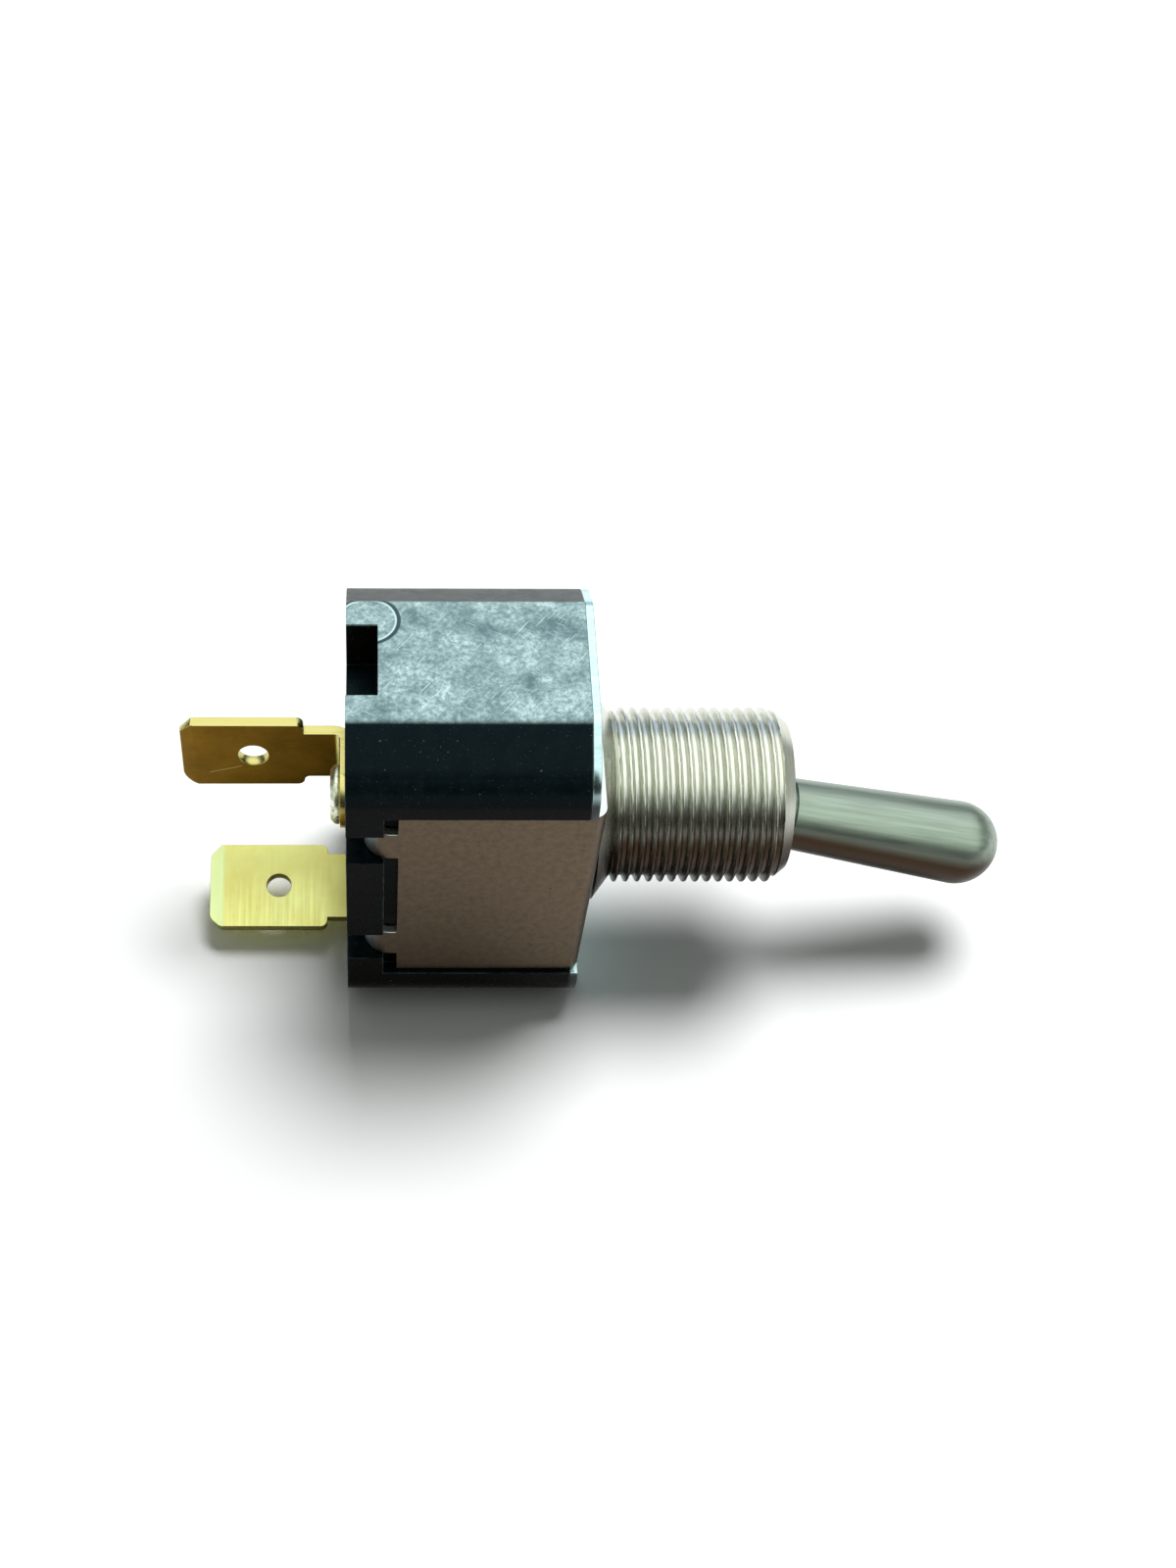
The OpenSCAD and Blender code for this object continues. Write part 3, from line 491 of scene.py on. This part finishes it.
def metal(name, colour, darker, roughness, grain, mottle, stretch=(1, 1, 1), depth=0.001, along=0.0,
          specks=0.0, speck_colour="#2a241d", painted_shade=None, painted_shade_from=0.0, painted_shade_to=1.0, marks=0.0,
          sheared=None, ear_painted_reflection=None):
    """Plated or bare metal: tone mottled at one size, polish and relief grained at a finer one (mm).
    along turns the grain about Y; specks is their share of the face; the underside colour, with where
    it starts and is full, is a painted shade on faces that look down and forward; marks is the share
    of scratches; sheared is the colour of cut edges that face along Z, bare metal made brighter as a
    painted highlight; the ear colour is painted on the ears as a painted reflection."""
    material, tree, shader, place = start_material(name, 1.0)
    turn = (0.0, along, 0.0)
    cloud = spread(tree, place, mottle, 5.0, 0.65, stretch, turn)
    fine = spread(tree, place, grain, 3.0, 0.6, stretch, turn)
    cloudy = add(tree, "ShaderNodeMapRange", {"Value": cloud, "From Min": 0.32, "From Max": 0.68})
    tone = add(tree, "ShaderNodeMix", {"Factor": cloudy, ONE: darker, TWO: colour}, **TONES)
    # painted shade: faces that look down and forward take the underside colour
    if painted_shade:
        share = painted_underside_shade(tree, painted_shade_from, painted_shade_to)
        tone = add(tree, "ShaderNodeMix", {"Factor": share, ONE: tone, TWO: painted_shade}, **TONES)
    if marks:
        share = scratches(tree, place, (0, math.radians(40), 0), 0.05, 2.4, marks)
        share = add(tree, "ShaderNodeMath", {0: share, 1: 0.6}, **TIMES)
        tone = add(tree, "ShaderNodeMix", {"Factor": share, ONE: tone, TWO: colour}, **TONES)
    if specks:
        dots = spread(tree, place, 0.22, 2.0, 0.5)
        share = add(tree, "ShaderNodeMapRange", {"Value": dots, "From Min": 1.0 - specks,
                                                 "From Max": 1.04 - specks})
        tone = add(tree, "ShaderNodeMix", {"Factor": share, ONE: tone, TWO: speck_colour}, **TONES)
    # painted reflection: the ears are painted pale from where they leave the strap's sides
    if ear_painted_reflection:
        back = add(tree, "ShaderNodeSeparateXYZ", {0: place}, out="X")
        share = add(tree, "ShaderNodeMapRange", {"Value": back, "From Min": EARS_BEGIN,
                                                 "From Max": EARS_FULLY_PAINTED}, **SMOOTH)
        tone = add(tree, "ShaderNodeMix", {"Factor": share, ONE: tone, TWO: ear_painted_reflection}, **TONES)
    # cut edges that face along Z painted bright: bare metal and a painted highlight
    if sheared:
        normal = add(tree, "ShaderNodeTexCoord", out="Normal")
        upright = add(tree, "ShaderNodeSeparateXYZ", {0: normal}, out="Z")
        upright = add(tree, "ShaderNodeMath", {0: upright}, **SIZE_OF)
        share = add(tree, "ShaderNodeMapRange", {"Value": upright, "From Min": 0.45, "From Max": 0.8})
        tone = add(tree, "ShaderNodeMix", {"Factor": share, ONE: tone, TWO: sheared}, **TONES)
    polish = add(tree, "ShaderNodeMapRange", {"Value": fine, "From Min": 0.25, "From Max": 0.75,
                                              "To Min": roughness * 0.8, "To Max": roughness * 1.25})
    finish_surface(tree, shader, tone, polish, fine, 0.5, depth)
    return material


def long_scratch(tree, place, start, end):
    """1 on one straight mark on a face that looks along Y, from start to end."""
    half_width = 0.035 * MM
    start, end = Vector(start) * MM, Vector(end) * MM
    run = (end - start).normalized()
    away = add(tree, "ShaderNodeVectorMath", {0: place, 1: (start + end) / 2}, operation="SUBTRACT")
    beside = add(tree, "ShaderNodeVectorMath", {0: away, 1: (-run.z, 0.0, run.x)}, **DOT)
    along = add(tree, "ShaderNodeVectorMath", {0: away, 1: run}, **DOT)
    thin = add(tree, "ShaderNodeMath", {0: beside, 1: 0.0, 2: half_width}, operation="COMPARE")
    short = add(tree, "ShaderNodeMath", {0: along, 1: 0.0, 2: (end - start).length / 2},
                operation="COMPARE")
    return add(tree, "ShaderNodeMath", {0: thin, 1: short}, **TIMES)


def rolled_brass(name, face, face_darker, edge, across, roughness, brushed, tip=None, tip_colour=None,
                 scratch=None):
    """Blanked from brass strip: rolled faces in one tone, cut edges in the edge colour: on the dark
    blade they are bright, partly as a painted highlight, on the pale blade darker. across is the
    strip's face normal, brushed the pull of the surface lines along each axis; tip is where the coined
    tip begins and scratch one long mark's start and end, both in mm."""
    material, tree, shader, place = start_material(name, 1.0)
    normal = add(tree, "ShaderNodeTexCoord", out="Normal")
    facing = add(tree, "ShaderNodeVectorMath", {0: normal, 1: across}, **DOT)
    facing = add(tree, "ShaderNodeMath", {0: facing}, **SIZE_OF)
    flat = add(tree, "ShaderNodeMapRange", {"Value": facing, "From Min": 0.86, "From Max": 0.97})
    lines = spread(tree, place, 0.1923, 3.0, 0.6, brushed)
    broad = spread(tree, place, 0.769, 3.0, 0.6, brushed)
    blotch = spread(tree, place, 3.846, 4.0, 0.6)
    share = add(tree, "ShaderNodeMapRange", {"Value": blotch, "From Min": 0.32, "From Max": 0.68})
    tone = add(tree, "ShaderNodeMix", {"Factor": share, ONE: face_darker, TWO: face}, **TONES)
    share = add(tree, "ShaderNodeMapRange", {"Value": broad, "From Min": 0.50, "From Max": 0.85,
                                             "To Min": 0.0, "To Max": 0.4})
    tone = add(tree, "ShaderNodeMix", {"Factor": share, ONE: tone, TWO: face_darker}, **TONES)
    if tip is not None:
        back = add(tree, "ShaderNodeSeparateXYZ", {0: place}, out="X")
        coined = add(tree, "ShaderNodeMapRange", {"Value": back, "From Min": (tip + 0.12) * MM,
                                                  "From Max": (tip - 0.12) * MM, "To Max": 0.75})
        tone = add(tree, "ShaderNodeMix", {"Factor": coined, ONE: tone, TWO: tip_colour}, **TONES)
    if scratch:
        share = add(tree, "ShaderNodeMath", {0: long_scratch(tree, place, *scratch), 1: 0.45}, **TIMES)
        tone = add(tree, "ShaderNodeMix", {"Factor": share, ONE: tone, TWO: edge}, **TONES)
    tone = add(tree, "ShaderNodeMix", {"Factor": flat, ONE: edge, TWO: tone}, **TONES)
    polish = add(tree, "ShaderNodeMapRange", {"Value": lines, "From Min": 0.3, "From Max": 0.7,
                                              "To Min": roughness * 0.8, "To Max": roughness * 1.3})
    finish_surface(tree, shader, tone, polish, lines, 0.4, 0.0015)
    return material


# ---------------------------------------------------------------- fibre and nylon

def moulded(name, colour, paler, roughness, size):
    """A non-metal with a soft cloud, sized in mm, and a grain an eighth as large."""
    material, tree, shader, place = start_material(name, 0.0)
    cloud = spread(tree, place, size, 5.0, 0.65)
    fine = spread(tree, place, size / 8, 2.0, 0.6, (1, 1, 0.4))
    share = add(tree, "ShaderNodeMapRange", {"Value": cloud, "From Min": 0.3, "From Max": 0.7})
    tone = add(tree, "ShaderNodeMix", {"Factor": share, ONE: colour, TWO: paler}, **TONES)
    polish = add(tree, "ShaderNodeMapRange", {"Value": fine, "From Min": 0.3, "From Max": 0.7,
                                              "To Min": roughness * 0.85, "To Max": roughness * 1.1})
    finish_surface(tree, shader, tone, polish, fine, 0.3, 0.01)
    return material


# ---------------------------------------------------------------- bushing

def thread_tree():
    """Geometry Nodes: a tube whose wall follows a helical 60 degree thread, with foot and nose."""
    tree = bpy.data.node_groups.new("threaded_tube", "GeometryNodeTree")
    size, share, count = "NodeSocketFloat", "NodeSocketFloat", "NodeSocketInt"
    sockets = (("Pitch", size, 0.79375 * MM), ("Root radius", size, 5.50 * MM), ("Depth", size, 0.45 * MM),
               ("Crest at", size, 1.978 * MM), ("Start turn", share, 35 / 360),
               ("Crest half", share, 0.06), ("Root from", share, 0.38),
               ("Run-in starts", size, 1.0 * MM), ("Run-in ends", size, 1.5 * MM),
               ("Length", size, BUSHING_NOSE), ("Foot radius", size, 7.13 * MM),
               ("Foot slope", share, 1.36), ("Nose slope", share, 0.80), ("Nose starts", size, 12.0 * MM),
               ("Around", count, 121), ("Along", count, 361))
    for name, kind, value in sockets:
        tree.interface.new_socket(name=name, in_out="INPUT", socket_type=kind).default_value = value
    tree.interface.new_socket(name="Metal", in_out="INPUT", socket_type="NodeSocketMaterial")
    tree.interface.new_socket(name="Tube", in_out="OUTPUT", socket_type="NodeSocketGeometry")
    entry = tree.nodes.new("NodeGroupInput").outputs
    grid = add(tree, "GeometryNodeMeshGrid", {"Vertices X": entry["Around"], "Vertices Y": entry["Along"]},
               out="Mesh")
    place = add(tree, "GeometryNodeInputPosition")
    parts = add(tree, "ShaderNodeSeparateXYZ", {0: place}).node.outputs
    turn = add(tree, "ShaderNodeMath", {0: parts["X"], 1: 0.5}, operation="ADD")
    angle = add(tree, "ShaderNodeMath", {0: turn, 1: 2 * math.pi}, operation="MULTIPLY")
    way = add(tree, "ShaderNodeMath", {0: parts["Y"], 1: 0.5}, operation="ADD")
    along = add(tree, "ShaderNodeMath", {0: way, 1: entry["Length"]}, operation="MULTIPLY")
    # turns of the helix: zero at a crest; a right-hand thread moves along +X as it turns from Y to Z
    offset = add(tree, "ShaderNodeMath", {0: along, 1: entry["Crest at"]}, operation="SUBTRACT")
    turns = add(tree, "ShaderNodeMath", {0: offset, 1: entry["Pitch"]}, operation="DIVIDE")
    phase = add(tree, "ShaderNodeMath", {0: turns, 1: turn}, operation="SUBTRACT")
    start = add(tree, "ShaderNodeMath", {0: phase, 1: entry["Start turn"]}, operation="ADD")
    away = add(tree, "ShaderNodeMath", {0: start, 1: 0.5}, operation="PINGPONG")
    height = add(tree, "ShaderNodeMapRange", {"Value": away, "From Min": entry["Crest half"],
                                              "From Max": entry["Root from"],
                                              "To Min": 1.0, "To Max": 0.0}, **SMOOTH)
    run_in = add(tree, "ShaderNodeMapRange", {"Value": along, "From Min": entry["Run-in starts"],
                                              "From Max": entry["Run-in ends"]}, **SMOOTH)
    height = add(tree, "ShaderNodeMath", {0: height, 1: run_in}, operation="MULTIPLY")
    radius = add(tree, "ShaderNodeMath", {0: height, 1: entry["Depth"], 2: entry["Root radius"]},
                 operation="MULTIPLY_ADD")
    # the conical foot stands out of the thread, and the nose chamfer cuts it
    drop = add(tree, "ShaderNodeMath", {0: along, 1: entry["Foot slope"]}, operation="MULTIPLY")
    cone = add(tree, "ShaderNodeMath", {0: entry["Foot radius"], 1: drop}, operation="SUBTRACT")
    radius = add(tree, "ShaderNodeMath", {0: radius, 1: cone}, operation="MAXIMUM")
    past = add(tree, "ShaderNodeMath", {0: along, 1: entry["Nose starts"]}, operation="SUBTRACT")
    fall = add(tree, "ShaderNodeMath", {0: past, 1: entry["Nose slope"]}, operation="MULTIPLY")
    crest = add(tree, "ShaderNodeMath", {0: entry["Root radius"], 1: entry["Depth"]}, operation="ADD")
    nose = add(tree, "ShaderNodeMath", {0: crest, 1: fall}, operation="SUBTRACT")
    radius = add(tree, "ShaderNodeMath", {0: radius, 1: nose}, operation="MINIMUM")
    around = []
    for wave in ("COSINE", "SINE"):
        unit = add(tree, "ShaderNodeMath", {0: angle}, operation=wave)
        around.append(add(tree, "ShaderNodeMath", {0: unit, 1: radius}, operation="MULTIPLY"))
    point = add(tree, "ShaderNodeCombineXYZ", {"X": along, "Y": around[0], "Z": around[1]})
    tube = add(tree, "GeometryNodeSetPosition", {"Geometry": grid, "Position": point})
    tube = add(tree, "GeometryNodeMergeByDistance", {"Geometry": tube, "Distance": 1e-7})
    tube = add(tree, "GeometryNodeRealizeInstances", {"Geometry": tube})
    tube = add(tree, "GeometryNodeSetMaterial", {"Geometry": tube, "Material": entry["Metal"]})
    add(tree, "NodeGroupOutput", {"Tube": tube})
    return tree


def thread_wall(material):
    """The threaded outside as a plain mesh."""
    tree = thread_tree()
    seed = show("thread_seed", bpy.data.meshes.new("thread_seed"))
    maker = seed.modifiers.new("thread", "NODES")
    maker.node_group = tree
    keys = {item.name: item.identifier for item in tree.interface.items_tree if item.in_out == "INPUT"}
    maker[keys["Metal"]] = material
    return evaluated(seed)


def inner_wall():
    """Outline of the bushing's inside in mm, (x, radius) from nose to foot: mouth, throat, the ball's
    seat, bore and staked lip."""
    mouth, mouth_chamfer_x, mouth_chamfer_r = 4.82, 0.08, 0.12
    throat, seat, seat_ends = 3.35, 4.05, 4.35
    tail_bore, tail_outside, tail_chamfer = 4.85, 6.1, 0.1
    strap_back, strap_hole = -0.65, 5.5
    nose, pivot, tail = BUSHING_NOSE / MM, PIVOT / MM, BUSHING_TAIL / MM
    wall = [(nose, mouth), (nose - mouth_chamfer_x, mouth - mouth_chamfer_r),
            (pivot + math.sqrt(seat * seat - throat * throat), throat)]
    for degrees in (34, 26, 17, 8, 0):
        lean = math.radians(degrees)
        wall.append((pivot + seat * math.sin(lean), seat * math.cos(lean)))
    return wall + [(pivot - seat_ends, seat), (tail, tail_bore), (tail, tail_outside - tail_chamfer),
                   (tail + tail_chamfer, tail_outside), (strap_back, tail_outside),
                   (strap_back, strap_hole), (0.0, strap_hole)]


def close_tube(mesh):
    """Joins the thread's nose to its foot through the inner wall."""
    edge = 1e-7
    bm = bmesh.new()
    bm.from_mesh(mesh)

    def around(v):
        return math.atan2(v.co.z, v.co.y)

    nose = sorted((v for v in bm.verts if v.co.x > BUSHING_NOSE - edge), key=around)
    foot = sorted((v for v in bm.verts if v.co.x < edge), key=around)
    angles = [around(v) for v in nose]
    rings = [nose]
    for x, r in inner_wall():
        rings.append([bm.verts.new((x * MM, r * MM * math.cos(a), r * MM * math.sin(a))) for a in angles])
    rings.append(foot)
    for one, two in zip(rings, rings[1:]):
        for k in range(len(nose)):
            after = (k + 1) % len(nose)
            bm.faces.new((one[k], one[after], two[after], two[k]))
    bmesh.ops.recalc_face_normals(bm, faces=bm.faces)
    bm.to_mesh(mesh)
    bm.free()


def cut_pin_slots(mesh):
    """The same mesh with the pivot pin's slots cut from its inner end."""
    half_height, half_reach, behind = 0.85 * MM, 5.03 * MM, -2 * MM
    tube = show("bushing_tube", mesh)
    box = Matrix.Diagonal((PIVOT - behind, 2 * half_reach, 2 * half_height, 1))
    bm = bmesh.new()
    bmesh.ops.create_cube(bm, size=1, matrix=Matrix.Translation(((PIVOT + behind) / 2, 0, 0)) @ box)
    cutter = show("slot_cutter", bpy.data.meshes.new("slot_cutter"))
    bm.to_mesh(cutter.data)
    bm.free()
    cut = tube.modifiers.new("slots", "BOOLEAN")
    cut.object = cutter
    cut.solver = "EXACT"
    cut_mesh = evaluated(tube)
    bpy.data.objects.remove(cutter)
    return cut_mesh


def threaded_bushing(material):
    mesh = thread_wall(material)
    close_tube(mesh)
    mesh = cut_pin_slots(mesh)
    smooth(mesh, 34)
    put_on(new_piece("bushing_threaded", mesh, "housing", "bushing_nickel", "bushing"), material)


# ---------------------------------------------------------------- outside pieces

def eased_piece(name, slot, node, material, width, segments=2, reshape=None):
    """Takes the place of a CAD node of the housing with its eased copy."""
    mesh = eased(node, width, segments, reshape)
    put_on(new_piece(name, mesh, "housing", slot, node), material)


place_camera()
lay_floor()
light_the_room()
hang_soft_box()

eased_piece("case_moulding", "phenolic", "case", phenolic(), 0.12 * MM)

# Bright zinc on rolled steel: a clear blue-white gleam, with a painted shade, greyer, where it looks down
# and forward.
zinc = metal("bright_zinc_plate", "#cfebec", "#b0cdcf", 0.22, 0.12, 0.8, (0.3, 1, 1), 0.002,
             painted_shade="#37393a", painted_shade_from=0.05, painted_shade_to=0.55)
eased_piece("cover_plate_stamped", "zinc_steel", "cover_plate", zinc, 0.06 * MM)

# Thinly plated steel strip, stamped and folded: a dull face painted dark brown as a painted
# reflection of shade, with dark specks, cut edges painted bright, partly as a painted highlight,
# and ears painted pale as a painted reflection.
strap = metal("plated_strip_painted_dark", "#645544", "#54483a", 0.36, 0.10, 0.5, depth=0.004, specks=0.29,
              speck_colour="#2c251d", marks=0.31, sheared="#dfe8e4", ear_painted_reflection="#a9b6b6")
eased_piece("frame_strap", "frame_steel", "frame", strap, 0.08 * MM, reshape=bow_strap)

# Nickel over turned brass: pale warm crests, with a painted shade of dark brown on the faces that look down
# and forward.
nickel = metal("nickel_plated_thread", "#dfe0d6", "#c9cbbf", 0.26, 0.15, 0.5, (1, 0.03, 0.03), 0.0003,
               specks=0.20, painted_shade=PAINTED_SHADE_BROWN, painted_shade_from=-0.16, painted_shade_to=0.40)
threaded_bushing(nickel)

# Satin nickel on the bat handle: a soft grey-green gleam, drawn out along the handle by polishing, with a
# painted shade of dark brown on the faces that look down and forward.
lever_tip = max((v.co for v in nodes["lever"].data.vertices), key=lambda co: co.x)
lever_turn = math.atan2(lever_tip.z, lever_tip.x - PIVOT)
satin = metal("satin_nickel_lever", "#a4b1a4", "#8a978b", 0.36, 0.08, 0.35, (0.04, 1, 1), 0.002,
              along=lever_turn, specks=0.20, painted_shade=PAINTED_SHADE_BROWN, painted_shade_from=-0.10, painted_shade_to=0.48)
put_on(nodes["lever"], satin)

# Bright rolled brass: a pale yellow face brushed across the blade, with a greener coined tip.
pale_brass = rolled_brass("bright_brass_blade", "#d6d88c", "#ccc676", "#8b8140", (0.0, -0.225, 0.974),
                          0.34, (1, 0.03, 0.03), tip=-25.55, tip_colour="#c3d29c")
end_corners = blade_corners("end_terminal", 0.30 * MM, 2.45 * MM, (1, -1), 0.25 * MM, 0.30 * MM)
eased_piece("end_blade", "end_brass", "end_terminal", pale_brass, 0.06 * MM,
            reshape=lambda mesh: round_corners(mesh, 2, end_corners))

# Rolled brass, the same as the end blade's, with its face painted brown as a painted reflection of shade,
# brushed along the blade, with bright edges that are partly a painted highlight.
brass_painted_dark = rolled_brass("brass_blade_painted_dark", "#7b5a10", "#624505", "#c6bc78", (0.0, 1.0, 0.0),
                          0.24, (0.05, 1, 1), scratch=((-26.2, 0.0, -1.85), (-23.9, 0.0, -1.15)))
centre_corners = blade_corners("centre_terminal", 0.45 * MM, 2.3 * MM, (-1,), 0.45 * MM, 0.12 * MM)
eased_piece("centre_blade", "centre_brass", "centre_terminal", brass_painted_dark, 0.06 * MM,
            reshape=lambda mesh: round_corners(mesh, 1, centre_corners))

# Plated rivet head, hammered over: bright and uneven, specked with dirt, with a painted shade, darker
# olive, where it looks down and forward.
rivet = metal("plated_rivet", "#ffffee", "#aab296", 0.32, 0.14, 0.35, depth=0.015, specks=0.33,
              painted_shade="#6a6850", painted_shade_from=0.35, painted_shade_to=0.85)
eased_piece("rivet_centre", "rivet_nickel", "centre_rivet", rivet, 0.12 * MM, 3)


# ---------------------------------------------------------------- the works inside

# Vulcanised fibre sheet: matt grey-brown board. Natural nylon: waxy off-white.
put_on(nodes["insulator"], moulded("vulcanised_fibre", "#6d6152", "#85765f", 0.7, 0.9))
put_on(nodes["plunger"], moulded("natural_nylon", "#d9d4c4", "#ebe7da", 0.42, 1.2))
# Ground steel pin: bright, with fine lines along it. Drawn spring wire: a darker steel grey.
put_on(nodes["pivot_pin"], metal("ground_pin_steel", "#b9bdbf", "#a6abad", 0.22, 0.05, 0.6, (1, 0.05, 1)))
put_on(nodes["plunger_spring"], metal("music_wire", "#8f9496", "#6d7174", 0.3, 0.08, 0.5))
# Rolled copper and brass strip, with faint lines along the strip.
strip = (1, 0.2, 0.2)
put_on(nodes["contact_rocker"], metal("copper_strip", "#b4703f", "#93582f", 0.30, 0.10, 0.8, strip))
put_on(nodes["cradle"], metal("cradle_brass", "#c9a24a", "#ab8638", 0.30, 0.10, 0.8, strip))
# Silver contact buttons: plain white metal, softly polished.
silver = metal("silver_contact", "#d8dadb", "#bfc2c3", 0.26, 0.08, 0.4)
for button in ("moving_contact", "fixed_contact"):
    put_on(nodes[button], silver)
